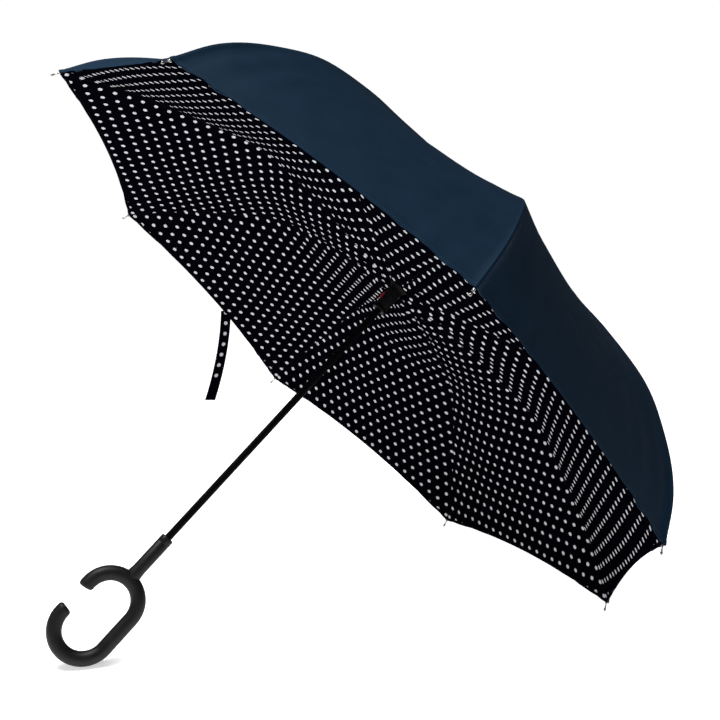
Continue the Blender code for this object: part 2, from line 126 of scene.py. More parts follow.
def cloth_material(name, base, shade, dots=False, sheen=0.1, gloss=0.2):
    """Close-woven cloth. The UV map holds metres: across the gore and up from the rim."""
    t = Tree(name)
    uv = t.node("ShaderNodeUVMap", uv_map="cloth").outputs[0]
    split = t.node("ShaderNodeSeparateXYZ", Vector=uv)
    u, v = split.outputs[0], split.outputs[1]
    # weave: warp and weft threads 0.42 mm apart, each passing over and under
    wu = t.math("SINE", t.math("MULTIPLY", u, 2 * math.pi / 0.00084))
    wv = t.math("SINE", t.math("MULTIPLY", v, 2 * math.pi / 0.00084))
    weave = t.math("MULTIPLY", wu, wv)
    soft = t.noise(uv, 26.0, 3.0, 0.55)
    slub = t.noise(uv, 420.0, 2.0, 0.6)
    tone = t.math("ADD", t.math("MULTIPLY", soft, 0.7), t.math("MULTIPLY", slub, 0.3))
    colour = t.mix(t.step(tone, 0.32, 0.70), base, shade)
    rough = t.step(soft, 0.3, 0.7, 0.56, 0.70)
    normal = t.bump(weave, 0.16, 0.0002)
    normal = t.bump(slub, 0.10, 0.0006, normal)
    rib = t.node("ShaderNodeAttribute", attribute_name="rib_d").outputs["Fac"]
    rim = t.node("ShaderNodeAttribute", attribute_name="rim_d").outputs["Fac"]
    if dots:
        # staggered rows of round dots
        row_v = t.math("DIVIDE", t.math("ADD", v, DOT_START), DOT_ROW)
        row = t.math("FLOOR", row_v)
        shift = t.math("MULTIPLY", t.math("MODULO", t.math("ADD", row, 400.0), 2.0), DOT_STAGGER)
        col = t.math("ADD", t.math("DIVIDE", u, DOT_PITCH), t.math("ADD", shift, 200.0))
        du = t.math("MULTIPLY", t.math("SUBTRACT", t.math("FRACT", col), 0.5), DOT_PITCH)
        dv = t.math("MULTIPLY", t.math("SUBTRACT", t.math("FRACT", row_v), 0.5), DOT_ROW)
        wobble = t.math("MULTIPLY", t.math("SUBTRACT", t.noise(uv, 900.0, 1.0), 0.5), 0.0006)
        away = t.math("ADD", t.math("SQRT", t.math("ADD", t.math("MULTIPLY", du, du), t.math("MULTIPLY", dv, dv))), wobble)
        ink = t.step(away, DOT_R - 0.0003, DOT_R + 0.0003, 1.0, 0.0)
        ink = t.math("MULTIPLY", ink, t.step(rim, HEM - 0.0004, HEM + 0.0004))
        pale = t.mix(t.step(slub, 0.3, 0.7), (0.62, 0.62, 0.65), (0.74, 0.74, 0.77))
        colour = t.mix(ink, colour, pale)
    # hem fold, its stitches, and the seam along each rib
    dash = t.step(t.math("SINE", t.math("MULTIPLY", u, 2 * math.pi / 0.0032)), -0.35, 0.1)
    line = t.math("SUBTRACT", 1.0, t.step(t.math("ABSOLUTE", t.math("SUBTRACT", rim, HEM - 0.0016)), 0.0002, 0.0006))
    stitch = t.math("MULTIPLY", line, dash)
    dash_v = t.step(t.math("SINE", t.math("MULTIPLY", v, 2 * math.pi / 0.0032)), -0.35, 0.1)
    line_v = t.math("SUBTRACT", 1.0, t.step(t.math("ABSOLUTE", t.math("SUBTRACT", rib, 0.0028)), 0.0002, 0.0006))
    stitch = t.math("MAXIMUM", stitch, t.math("MULTIPLY", line_v, dash_v))
    groove = t.math("SUBTRACT", 1.0, t.step(rib, 0.0001, 0.0008))
    colour = t.mix(t.math("MULTIPLY", stitch, 0.55), colour, tuple(min(1.0, 2.6 * c + 0.012) for c in base))
    colour = t.mix(t.math("MULTIPLY", groove, 0.5), colour, tuple(0.4 * c for c in base))
    relief = t.math("SUBTRACT", t.math("MULTIPLY", stitch, 0.8), groove)
    normal = t.bump(relief, 0.6, 0.0004, normal)
    t.finish(Base_Color=colour, Roughness=rough, Normal=normal, Sheen_Weight=sheen, Sheen_Roughness=0.45,
             Specular_IOR_Level=gloss)
    t.put(t.bsdf.inputs["Sheen Tint"], (*[min(1.0, 0.35 + 2 * c) for c in base], 1.0))
    return t.mat


DOT_PITCH, DOT_ROW, DOT_STAGGER, DOT_R, DOT_START, HEM = 0.0186, 0.0190, 0.5, 0.0031, 0.0, 0.0058
# each gore is cut from the cloth a little off the straight grain: sideways slip per metre
GRAIN = (0.12, 0.0, 0.03, -0.20, 0.05, -0.06, 0.08, 0.04)


def moulded(name, base, rough, grain=0.0002, scale=900.0, coat=0.0, wear=0.35, gloss=0.4):
    """Moulded plastic or rubbery coat: fine grain, faint mottling and lighter worn edges."""
    t = Tree(name)
    place = t.node("ShaderNodeTexCoord").outputs["Object"]
    fine = t.noise(place, scale, 4.0, 0.6)
    broad = t.noise(place, 34.0, 3.0, 0.55)
    edge = t.node("ShaderNodeNewGeometry").outputs["Pointiness"]
    worn = t.math("MULTIPLY", t.step(edge, 0.52, 0.62), t.step(broad, 0.35, 0.65))
    colour = t.mix(t.step(broad, 0.3, 0.7), base, tuple(1.35 * c + 0.002 for c in base))
    colour = t.mix(t.math("MULTIPLY", worn, wear), colour, tuple(min(1, 2.2 * c + 0.03) for c in base))
    roughness = t.math("ADD", t.step(broad, 0.3, 0.7, rough - 0.05, rough + 0.05), t.math("MULTIPLY", fine, 0.06))
    return t.finish(Base_Color=colour, Roughness=roughness, Normal=t.bump(fine, 0.35, grain),
                    Specular_IOR_Level=gloss, Coat_Weight=coat, Coat_Roughness=0.2)


def metal(name, base, rough, brushed=True):
    t = Tree(name)
    place = t.node("ShaderNodeTexCoord").outputs["Object"]
    long = t.node("ShaderNodeMapping", Vector=place)
    long.inputs["Scale"].default_value = (900.0, 900.0, 40.0) if brushed else (300.0, 300.0, 300.0)
    lines = t.noise(long.outputs[0], 1.0, 4.0, 0.6)
    spots = t.noise(place, 120.0, 4.0, 0.6)
    colour = t.mix(t.step(spots, 0.45, 0.75), base, tuple(0.62 * c for c in base))
    return t.finish(Base_Color=colour, Metallic=1.0, Roughness=t.step(lines, 0.3, 0.7, rough - 0.06, rough + 0.10),
                    Normal=t.bump(lines, 0.15, 0.0001))


def lacquer(name, base, rough, gloss):
    """Paint over a steel tube: faint orange peel, fine rubbed lines along it."""
    t = Tree(name)
    place = t.node("ShaderNodeTexCoord").outputs["Object"]
    peel = t.noise(place, 260.0, 2.0, 0.5)
    long = t.node("ShaderNodeMapping", Vector=place)
    long.inputs["Scale"].default_value = (1400.0, 1400.0, 12.0)
    rub = t.noise(long.outputs[0], 1.0, 3.0, 0.65)
    colour = t.mix(t.step(rub, 0.55, 0.8), base, tuple(2.2 * c + 0.002 for c in base))
    return t.finish(Base_Color=colour, Roughness=t.step(rub, 0.3, 0.75, rough, rough + 0.14),
                    Normal=t.bump(peel, 0.12, 0.0002), Specular_IOR_Level=gloss)


OUTER = cloth_material("teal_cloth", (0.0080, 0.0250, 0.0510), (0.0098, 0.0295, 0.0580), sheen=0.0, gloss=0.055)
INNER = cloth_material("black_dotted_cloth", (0.0009, 0.0009, 0.0022), (0.0017, 0.0017, 0.0036), dots=True,
                       sheen=0.0, gloss=0.0)
GRIP = moulded("charcoal_soft_coat", (0.0052, 0.0052, 0.0054), 0.44, 0.00025, 1100.0, gloss=0.30)
BLACK_PLASTIC = moulded("black_plastic", (0.0022, 0.0022, 0.0028), 0.42, 0.00015, 800.0, gloss=0.10)
RED = moulded("red_plastic", (0.26, 0.006, 0.018), 0.30, 0.0001, 700.0, coat=0.4)
LACQUER = lacquer("satin_black_tube", (0.0018, 0.0018, 0.0026), 0.34, 0.06)
RIB_PAINT = lacquer("black_rib_paint", (0.0060, 0.0060, 0.0072), 0.38, 0.2)
STEEL = metal("bright_steel", (0.50, 0.49, 0.47), 0.27)
for node, mats in {
    "crown": BLACK_PLASTIC, "top_cap": BLACK_PLASTIC, "crown_wire": STEEL, "canopy_washer": STEEL,
    "handle_pin": STEEL, "runner_wire": STEEL, "button_spring": STEEL,
    **{f"{kind}_{i}": RIB_PAINT for kind in ("main_rib", "outer_rib", "stretcher") for i in range(1, 9)},
}.items():
    data = NODES[node].data
    data.materials.clear()
    data.materials.append(mats)
    data.shade_smooth()
    data.set_sharp_from_angle(angle=math.radians(35))

# ---------------------------------------------------------------- mesh helpers
SCENE = bpy.context.scene.collection


def piece(name, verts, faces, mat, body, slot=None, replaces=(), sharp=None):
    mesh = bpy.data.meshes.new(name)
    mesh.from_pydata([tuple(map(float, v)) for v in verts], [], [tuple(map(int, f)) for f in faces])
    mesh.materials.append(mat)
    obj = bpy.data.objects.new(name, mesh)
    SCENE.objects.link(obj)
    mesh.shade_smooth()
    if sharp is not None:
        mesh.set_sharp_from_angle(angle=math.radians(sharp))
    if body:
        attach(obj, body)
    if replaces:
        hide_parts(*replaces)
    return obj


def lathe(profile, segments=64, at=(0, 0, 0), axis=(0, 0, 1)):
    """(verts, faces) of an (r, z) outline turned about an axis; ends on the axis close it."""
    axis = np.array(axis, float) / np.linalg.norm(axis)
    side = np.cross(axis, (0.0, 1.0, 0.0) if abs(axis[1]) < 0.9 else (1.0, 0.0, 0.0))
    side /= np.linalg.norm(side)
    other = np.cross(axis, side)
    verts, faces, rows = [], [], []
    for r, z in profile:
        if r < 1e-7:
            rows.append([len(verts)])
            verts.append(np.array(at) + axis * z)
            continue
        rows.append(list(range(len(verts), len(verts) + segments)))
        for k in range(segments):
            a = 2 * math.pi * k / segments
            verts.append(np.array(at) + axis * z + r * (math.cos(a) * side + math.sin(a) * other))
    closed = profile[0][0] > 1e-7
    pairs = list(zip(rows, rows[1:])) + ([(rows[-1], rows[0])] if closed else [])
    for a, b in pairs:
        for k in range(segments):
            n = (k + 1) % segments
            if len(a) == 1 and len(b) == 1:
                continue
            if len(a) == 1:
                faces.append((a[0], b[k], b[n]))
            elif len(b) == 1:
                faces.append((a[k], b[0], a[n]))
            else:
                faces.append((a[k], b[k], b[n], a[n]))
    return verts, faces


def outward(obj):
    bm = bmesh.new()
    bm.from_mesh(obj.data)
    bmesh.ops.recalc_face_normals(bm, faces=bm.faces)
    bm.to_mesh(obj.data)
    bm.free()
    return obj


def smooth_line(stations, count=160):
    pts = np.array(stations, float)
    fine = []
    for k in range(len(pts) - 1):
        a = pts[k - 1] if k else 2 * pts[0] - pts[1]
        b, c = pts[k], pts[k + 1]
        d = pts[k + 2] if k + 2 < len(pts) else 2 * pts[-1] - pts[-2]
        for t in np.arange(24) / 24:
            fine.append(0.5 * (2 * b + (c - a) * t + (2 * a - 5 * b + 4 * c - d) * t * t
                               + (3 * b - a - 3 * c + d) * t ** 3))
    fine.append(pts[-1])
    fine = np.array(fine)
    reach = np.r_[0, np.cumsum(np.linalg.norm(np.diff(fine, axis=0), axis=1))]
    want = np.linspace(0, reach[-1], count + 1)
    return np.c_[np.interp(want, reach, fine[:, 0]), np.interp(want, reach, fine[:, 1])], reach[-1]


# --------------------------------------------------------------------- fabric
RIM = np.array((0.5268, 0.5492))
OUTER_LINE, OUTER_LENGTH = smooth_line([
    (0.0100, 0.8490), (0.120, 0.8160), (0.225, 0.7790), (0.300, 0.7530), (0.386, 0.7130),
    (0.448, 0.6630), (0.499, 0.6050), (0.529, 0.5510)])
INNER_LINE, INNER_LENGTH = smooth_line([
    (0.0200, 0.6635), (0.090, 0.6690), (0.180, 0.6740), (0.270, 0.6700), (0.360, 0.6370),
    (0.450, 0.5960), (0.5210, 0.5500)])
SCALLOP = 0.018
KNEE_SHARE = float(np.interp(0.280, OUTER_LINE[:, 0], np.linspace(0, 1, len(OUTER_LINE))))
rng = np.random.default_rng(11)
WAVES = [(int(m), float(a), float(p), float(w)) for m, a, p, w in zip(
    (9, 14, 22, 31, 43), (1.0, 0.8, 0.6, 0.45, 0.3), rng.uniform(0, 6.28, 5), rng.uniform(2, 9, 5))]


def ripple(phi, s):
    total = 0
    for m, a, p, w in WAVES:
        total = total + a * np.sin(m * phi + p + w * s)
    return total / 1.6


def smoothstep(x, a, b):
    t = np.clip((x - a) / (b - a), 0, 1)
    return t * t * (3 - 2 * t)


def sheet(layer, s, q, i):
    """Points of a layer: s from centre to rim, q from -1 to 1 about rib i."""
    s, q = np.broadcast_arrays(np.asarray(s, float), np.asarray(q, float))
    line, length = (OUTER_LINE, OUTER_LENGTH) if layer == "outer" else (INNER_LINE, INNER_LENGTH)
    u = np.abs(q)
    mid = u * (2 - u)
    drawn = s * (1 - SCALLOP / length * mid * s ** 3)
    grid = np.linspace(0, 1, len(line))
    r, z = np.interp(drawn, grid, line[:, 0]), np.interp(drawn, grid, line[:, 1])
    # the cloth is straight between two neighbouring ribs
    x = r * (1 - (1 - math.cos(STEP)) * u / 2)
    y = r * math.sin(STEP) * q / 2
    phi = i * STEP + q * STEP / 2
    body = np.sin(math.pi * np.clip(s, 0, 1)) ** 0.8
    if layer == "outer":
        # drawn taut, each gore lies hollow between its two ribs
        hollow = 0.062 * s ** 2 * (1 - s) * mid
        side = np.where(q >= 0, 1.0, -1.0)
        x = x - 0.55 * hollow * math.cos(STEP / 2)
        y = y - 0.55 * hollow * math.sin(STEP / 2) * side
        z = z - hollow - 0.002 * mid * body
        z = z + 0.0007 * ripple(phi, s) * body
        # a low ridge where the rib's end presses the cloth out
        ridge = 0.0027 * np.exp(-(y / 0.0048) ** 2) * smoothstep(s, 0.70, 0.90)
        x, z = x + 0.85 * ridge, z + 0.53 * ridge
        corner = np.exp(-((1 - s) / 0.20) ** 2) * np.exp(-((u - 0.22) / 0.24) ** 2)
        lift = 0.0023 * corner * np.sin(u * 27 - 9 * s + 1.3 * np.sin(3 * phi)) * u / (u + 0.08)
        knee = np.exp(-((s - KNEE_SHARE) / 0.05) ** 2) * np.exp(-(u / 0.4) ** 2)
        z = z + lift - 0.0012 * knee * np.sin(u * 16)
    else:
        z = z - 0.006 * mid * body
        z = z + 0.0011 * ripple(phi, s) * body * mid
        hub = np.exp(-(s / 0.22) ** 2) * smoothstep(s, 0.0, 0.05)
        z = z + 0.0012 * hub * np.sin(16 * phi + 2.2 * np.sin(3 * phi)) - 0.0006 * hub * np.cos(40 * phi)
        corner = np.exp(-((1 - s) / 0.2) ** 2) * np.exp(-(u / 0.4) ** 2)
        z = z + 0.0012 * corner * np.sin(u * 22) * u / (u + 0.04)
    # both layers meet in one rim, drawn in between the tips
    rr = RIM[0] - 0.0090 * mid
    rim_x = rr * (1 - (1 - math.cos(STEP)) * u / 2)
    rim_y = rr * math.sin(STEP) * q / 2
    rim_z = RIM[1] + 0.0115 * mid
    own = sheet_rim(layer, q)
    pull = smoothstep(s, 0.80, 1.0) ** 1.5
    x = x + (rim_x - own[0]) * pull
    y = y + (rim_y - own[1]) * pull
    z = z + (rim_z - own[2]) * pull
    c, n = math.cos(i * STEP), math.sin(i * STEP)
    return np.stack([x * c - y * n, x * n + y * c, z], axis=-1)


def sheet_rim(layer, q):
    line, length = (OUTER_LINE, OUTER_LENGTH) if layer == "outer" else (INNER_LINE, INNER_LENGTH)
    u = np.abs(q)
    mid = u * (2 - u)
    drawn = 1 - SCALLOP / length * mid
    grid = np.linspace(0, 1, len(line))
    r, z = np.interp(drawn, grid, line[:, 0]), np.interp(drawn, grid, line[:, 1])
    return r * (1 - (1 - math.cos(STEP)) * u / 2), r * math.sin(STEP) * q / 2, z


def sheet_normals(layer, s, q, i, up):
    e = 1e-3
    ds = sheet(layer, np.minimum(s + e, 1), q, i) - sheet(layer, np.maximum(s - e, 0), q, i)
    # central across the crease at the rib, one-sided at the seam line in mid-gore
    dq = sheet(layer, s, np.clip(q + e, -1, 1), i) - sheet(layer, s, np.clip(q - e, -1, 1), i)
    n = np.cross(ds, dq)
    # in mid-gore the sheet is the mirror of its neighbour's
    edge = np.abs(np.abs(q) - 1) < 1e-6
    a = i * STEP + q * STEP / 2
    tangent = np.stack([-np.sin(a), np.cos(a), np.zeros_like(a)], axis=-1)
    flat = np.cross(ds, tangent)
    n = np.where(edge[..., None], flat * np.sign(np.sum(flat * n, axis=-1))[..., None], n)
    n /= np.linalg.norm(n, axis=-1)[..., None]
    flip = np.sign(n[..., 2]) * (1 if up else -1)
    return n * flip[..., None]


def petal(name, layer, i, s_list, cols, thick, mat, body, replaces=(), lift=0.0, span=(-1.0, 1.0)):
    """A closed thin sheet about rib i, from mid-gore to mid-gore or one side of the rib. Its
    shading at the edges matches its neighbours', so the pieces read as one cloth."""
    up = layer == "outer"
    q_list = np.sin(np.linspace(-1, 1, cols + 1) * math.pi / 2)
    q_list = 0.35 * q_list + 0.65 * np.linspace(-1, 1, cols + 1)
    near = np.array((0.008, 0.017, 0.028, 0.045))          # close columns beside the rib
    q_list = np.unique(np.round(np.r_[q_list, near, -near, 0.0], 9))
    q_list = q_list[(q_list >= span[0]) & (q_list <= span[1])]
    cols = len(q_list) - 1
    S, Q = np.meshgrid(np.array(s_list), q_list, indexing="ij")
    P = sheet(layer, S, Q, i)
    N = sheet_normals(layer, S, Q, i, up)
    length = OUTER_LENGTH if up else INNER_LENGTH
    rim_d = (1 - S) * length
    # the folded hem stands a little proud on the shown side
    fold = 0.0006 * smoothstep(rim_d, HEM + 0.0004, HEM - 0.0004)
    P = P + N * (fold + lift)[..., None]
    B = P - N * (thick + fold)[..., None]
    rows, n = len(s_list), cols + 1
    verts = np.concatenate([P.reshape(-1, 3), B.reshape(-1, 3)])
    half = rows * n
    faces, uvs, normals = [], [], []
    # distance across the gore, laid flat, from its middle line
    seg = np.linalg.norm(np.diff(P, axis=1), axis=-1)
    k0 = int(np.argmin(np.abs(q_list)))
    cum = np.concatenate([np.zeros((rows, 1)), np.cumsum(seg, axis=1)], axis=1)
    # straight rows of the cloth: distance in from the line joining two tips
    mid = np.abs(Q) * (2 - np.abs(Q))
    V = (1 - S * (1 - SCALLOP / length * mid * S ** 3)) * length
    left = cum + GRAIN[(i - 1) % RIBS] * V       # gore on the -q side: 0 at its middle
    right = cum - cum[:, -1:] + GRAIN[i] * V     # gore on the +q side: 0 at its middle
    flatN = N.reshape(-1, 3)

    def add(ids, uv, nor):
        faces.append(ids)
        uvs.extend(uv)
        normals.extend(nor)

    for j in range(rows - 1):
        for k in range(cols):
            a, b, c, d = j * n + k, (j + 1) * n + k, (j + 1) * n + k + 1, j * n + k + 1
            side = left if k < k0 else right
            cu = [(side[x // n, x % n], V[x // n, x % n]) for x in (a, b, c, d)]
            fwd = [a, b, c, d] if up else [d, c, b, a]
            cu_f = cu if up else cu[::-1]
            add(fwd, cu_f, [flatN[x] for x in fwd])
            back = [x + half for x in fwd[::-1]]
            add(back, cu_f[::-1], [-flatN[x - half] for x in back])
    ring = ([j * n for j in range(rows)] + [(rows - 1) * n + k for k in range(1, n)]
            + [j * n + n - 1 for j in range(rows - 2, -1, -1)] + [k for k in range(n - 2, 0, -1)])
    for a, b in zip(ring, ring[1:] + ring[:1]):
        ids = [b, a, a + half, b + half] if up else [a, b, b + half, a + half]
        uv = [(cum[x % half // n, x % half % n], V[x % half // n, x % half % n]) for x in ids]
        add(ids, uv, [(0, 0, 0)] * 4)
    obj = piece(name, verts, faces, mat, None)
    mesh = obj.data
    layer_uv = mesh.uv_layers.new(name="cloth")
    layer_uv.data.foreach_set("uv", np.array(uvs, np.float32).ravel())
    for key, values in (("rib_d", np.minimum(np.abs(cum - cum[:, k0:k0 + 1]), 1.0)), ("rim_d", rim_d)):
        attribute = mesh.attributes.new(key, "FLOAT", "POINT")
        attribute.data.foreach_set("value", np.concatenate([values.ravel(), values.ravel()]).astype(np.float32))
    mesh.normals_split_custom_set([tuple(map(float, x)) for x in normals])
    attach(obj, body)
    if replaces:
        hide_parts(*replaces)
    return obj


def shares(start, end, count, length, hem=True):
    body_end = 1 - 0.014 / length if hem else end
    rows = list(np.linspace(start, body_end, count))
    if hem:
        rows += [1 - d / length for d in (HEM + 0.0012, HEM + 0.0004, HEM - 0.0004, 0.0042, 0.0008, 0.0)]
    return rows


for i in range(RIBS):
    n = i + 1
    top = petal(f"outer_canopy_top_{n}", "outer", i, shares(0.0, KNEE_SHARE, 22, OUTER_LENGTH, False), 24,
                0.0005, OUTER, f"stretcher_{n}", ("outer_canopy",))
    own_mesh(top)
    # beyond the knee each gore is cut in two at its rib and each half is carried by the outer rib; the direction
    # across each half gore, in its own plane, is worked out but not used
    for half, sign in (("left", -1), ("right", 1)):
        skirt = petal(f"outer_canopy_skirt_{n}_{half}", "outer", i, shares(KNEE_SHARE, 1.0, 34, OUTER_LENGTH), 24,
                      0.0005, OUTER, f"outer_rib_{n}", ("outer_canopy",),
                      span=(min(sign, 0.0), max(sign, 0.0)))
        along = Vector((0.773, 0.0, -0.633)).normalized()
        chord = Vector((-math.sin(STEP / 2), sign * math.cos(STEP / 2), 0.0))
        across = (chord - along * chord.dot(along)).normalized()
        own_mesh(skirt)
    lining = petal(f"inner_canopy_cloth_{n}", "inner", i, shares(0.0, 1.0, 46, INNER_LENGTH), 28,
                   0.0004, INNER, f"inner_canopy_{n}", (f"inner_canopy_{n}",))
    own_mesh(lining)
    gather = petal(f"hub_gather_{n}", "inner", i, shares(0.0, 0.22, 12, INNER_LENGTH, False), 16,
                   0.0004, INNER, f"main_rib_{n}", (), lift=-0.0034)
    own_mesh(gather)

# ------------------------------------------------------------ shaft and handle
low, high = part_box("shaft")
r = 0.0050
piece("shaft_tube", *lathe([(0.0041, low.z), (r - 0.0003, low.z), (r, low.z + 0.0003), (r, 0.3), (r, 0.5), (r, 0.65),
                            (r, high.z - 0.0003), (r - 0.0003, high.z), (0.0041, high.z)], 64),
      LACQUER, "shaft", "gloss_black_tube", ("shaft",), 40)


def grip_points():
    """The C's centreline: two arcs and the straight side, with a soft turn at the ends."""
    past = math.radians(12.5)
    pts = []
    for k in range(49):
        a = math.pi + past - (math.pi + past) * k / 48
        pts.append((0.036 * math.cos(a), 0.094 + 0.036 * math.sin(a)))
    for k in range(1, 12):
        pts.append((0.036, 0.094 - 0.048 * k / 12))
    for k in range(49):
        a = -(math.pi + past) * k / 48
        pts.append((0.036 * math.cos(a), 0.046 + 0.036 * math.sin(a)))
    return np.array(pts)


def swept(points, radii, sides=48):
    """A round bar in the XZ plane along points, closed at each end with a flat cap."""
    t = np.gradient(points, axis=0)
    t /= np.linalg.norm(t, axis=1)[:, None]
    verts, faces = [], []
    for p, d, r_here in zip(points, t, radii):
        normal = np.array((d[1], -d[0]))
        for k in range(sides):
            a = 2 * math.pi * k / sides
            off = r_here * math.cos(a)
            verts.append((p[0] + normal[0] * off, r_here * math.sin(a), p[1] + normal[1] * off))
    count = len(points)
    for j in range(count - 1):
        for k in range(sides):
            m = (k + 1) % sides
            faces.append((j * sides + k, (j + 1) * sides + k, (j + 1) * sides + m, j * sides + m))
    for row, end in ((0, 0), (count - 1, -1)):
        verts.append((points[end][0], 0, points[end][1]))
        c = len(verts) - 1
        for k in range(sides):
            m = (k + 1) % sides
            faces.append((c, row * sides + k, row * sides + m) if row == 0 else (c, row * sides + m, row * sides + k))
    return verts, faces


line = grip_points()
# the rim of each cut end is rounded over 4 mm
edge = 0.0042
t0, t1 = line[1] - line[0], line[-1] - line[-2]
t0 /= np.linalg.norm(t0)
t1 /= np.linalg.norm(t1)
reach = np.r_[0, np.cumsum(np.linalg.norm(np.diff(line, axis=0), axis=1))]
core = line[(reach > edge * 1.2) & (reach < reach[-1] - edge * 1.2)]
turns = [math.radians(a) for a in (0, 15, 35, 55, 75, 90)]
front = [line[0] + t0 * edge * (1 - math.cos(a)) for a in turns]
back = [line[-1] - t1 * edge * (1 - math.cos(a)) for a in reversed(turns)]
radii = ([0.0099 - edge * (1 - math.sin(a)) for a in turns] + [0.0099 + 0.0001 * math.sin(k * 0.21) ** 2 for k in range(len(core))]
         + [0.0099 - edge * (1 - math.sin(a)) for a in reversed(turns)])
grip = piece("grip_loop", *swept(np.vstack([front, core, back]), radii), GRIP, None, "charcoal_soft_coat")
outward(grip)
stem_low, stem_top = 0.1260, 0.2020
stem = piece("grip_stem", *lathe([
    (0, stem_low), (0.0086, stem_low), (0.0089, 0.136), (0.0098, 0.1405), (0.0090, 0.1460), (0.0089, 0.1500),
    (0.0089, stem_top - 0.0105), (0.0087, stem_top - 0.0100), (0.0087, stem_top - 0.0094), (0.0089, stem_top - 0.0089),
    (0.0089, stem_top - 0.0020), (0.0086, stem_top - 0.0008), (0.0078, stem_top - 0.0001), (0.0056, stem_top),
    (0.0053, stem_top - 0.0020), (0.0053, stem_top - 0.0200), (0, stem_top - 0.0200)], 72), GRIP, None,
    "charcoal_soft_coat")
outward(stem)
join = grip.modifiers.new("join", "BOOLEAN")
join.operation, join.solver, join.object = "UNION", "EXACT", stem
bpy.context.view_layer.update()
joined = bpy.data.meshes.new_from_object(grip.evaluated_get(bpy.context.evaluated_depsgraph_get()))
grip.modifiers.clear()
grip.data = joined
joined.shade_smooth()
joined.set_sharp_from_angle(angle=math.radians(45))
bpy.data.objects.remove(stem, do_unlink=True)
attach(grip, "shaft")
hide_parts("c_handle")

# ---------------------------------------------------------------------- runner
low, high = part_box("runner")
z = 0.6750
runner = piece("runner_body", *lathe([
    (0.0055, low.z + 0.0004), (0.0084, low.z), (0.0095, low.z + 0.0005), (0.0100, low.z + 0.0016),
    (0.0100, low.z + 0.0042), (0.0096, low.z + 0.0048), (0.0096, low.z + 0.0060), (0.0100, low.z + 0.0066),
    (0.0100, z - 0.0160), (0.0104, z - 0.0135), (0.0120, z - 0.0110), (0.0150, z - 0.0075), (0.0182, z - 0.0060),
    (0.0190, z - 0.0052), (0.0190, z - 0.0018), (0.0184, z - 0.0013), (0.0118, z - 0.0013), (0.0118, z + 0.0013),
    (0.0174, z + 0.0013), (0.0180, z + 0.0020), (0.0180, z + 0.0038), (0.0170, z + 0.0046), (0.0120, z + 0.0058),
    (0.0116, z + 0.0064), (0.0114, z + 0.0078), (0.0100, z + 0.0080), (0.0055, z + 0.0080)], 96),
    BLACK_PLASTIC, None, "black_plastic")
outward(runner)
cutters = []


def cutter(low_c, high_c, turn=0.0):
    bm = bmesh.new()
    bmesh.ops.create_cube(bm, size=1.0)
    bmesh.ops.scale(bm, vec=[b - a for a, b in zip(low_c, high_c)], verts=bm.verts)
    bmesh.ops.translate(bm, vec=[(b + a) / 2 for a, b in zip(low_c, high_c)], verts=bm.verts)
    bmesh.ops.rotate(bm, cent=(0, 0, 0), matrix=Matrix.Rotation(turn, 3, "Z"), verts=bm.verts)
    mesh = bpy.data.meshes.new("cutter")
    bm.to_mesh(mesh)
    bm.free()
    obj = bpy.data.objects.new("cutter", mesh)
    SCENE.objects.link(obj)
    obj.hide_render = True
    return obj


for i in range(RIBS):
    cutters.append(cutter((0.0113, -0.00185, z - 0.0085), (0.03, 0.00185, z + 0.010), i * STEP))
blo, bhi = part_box("release_button")
cutters.append(cutter((-0.03, blo.y - 0.0004, blo.z - 0.0004), (-0.003, bhi.y + 0.0004, bhi.z + 0.0004)))
for tool in cutters:
    cut = runner.modifiers.new("cut", "BOOLEAN")
    cut.operation, cut.solver, cut.object = "DIFFERENCE", "EXACT", tool
bpy.context.view_layer.update()
done = bpy.data.meshes.new_from_object(runner.evaluated_get(bpy.context.evaluated_depsgraph_get()))
runner.modifiers.clear()
runner.data = done
done.shade_smooth()
done.set_sharp_from_angle(angle=math.radians(40))
for tool in cutters:
    bpy.data.objects.remove(tool, do_unlink=True)
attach(runner, "runner")
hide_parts("runner")

# red button: a rounded, slightly crowned key with two finger ridges
bm = bmesh.new()
bmesh.ops.create_grid(bm, x_segments=22, y_segments=12, size=0.5)
for v in bm.verts:
    a, b = v.co.x * 2, v.co.y * 2
    crown = (1 - abs(a) ** 5) * (1 - abs(b) ** 5)
    ridge = 0.00022 * (math.cos(a * 9.4) > 0.55) * (1 - a ** 2) * (1 - b ** 6)
    v.co = Vector((blo.x + 0.0008 * (1 - crown) - ridge, (blo.y + bhi.y) / 2 + b * (bhi.y - blo.y) / 2,
                   (blo.z + bhi.z) / 2 + a * (bhi.z - blo.z) / 2))
back_faces = bmesh.ops.extrude_face_region(bm, geom=list(bm.faces))
for v in back_faces["geom"]:
    if isinstance(v, bmesh.types.BMVert):
        v.co.x = bhi.x
bmesh.ops.recalc_face_normals(bm, faces=bm.faces)
mesh = bpy.data.meshes.new("button_key")
bm.to_mesh(mesh)
bm.free()
mesh.materials.append(RED)
button = bpy.data.objects.new("button_key", mesh)
SCENE.objects.link(button)
mesh.shade_smooth()
mesh.set_sharp_from_angle(angle=math.radians(50))
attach(button, "release_button")
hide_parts("release_button")

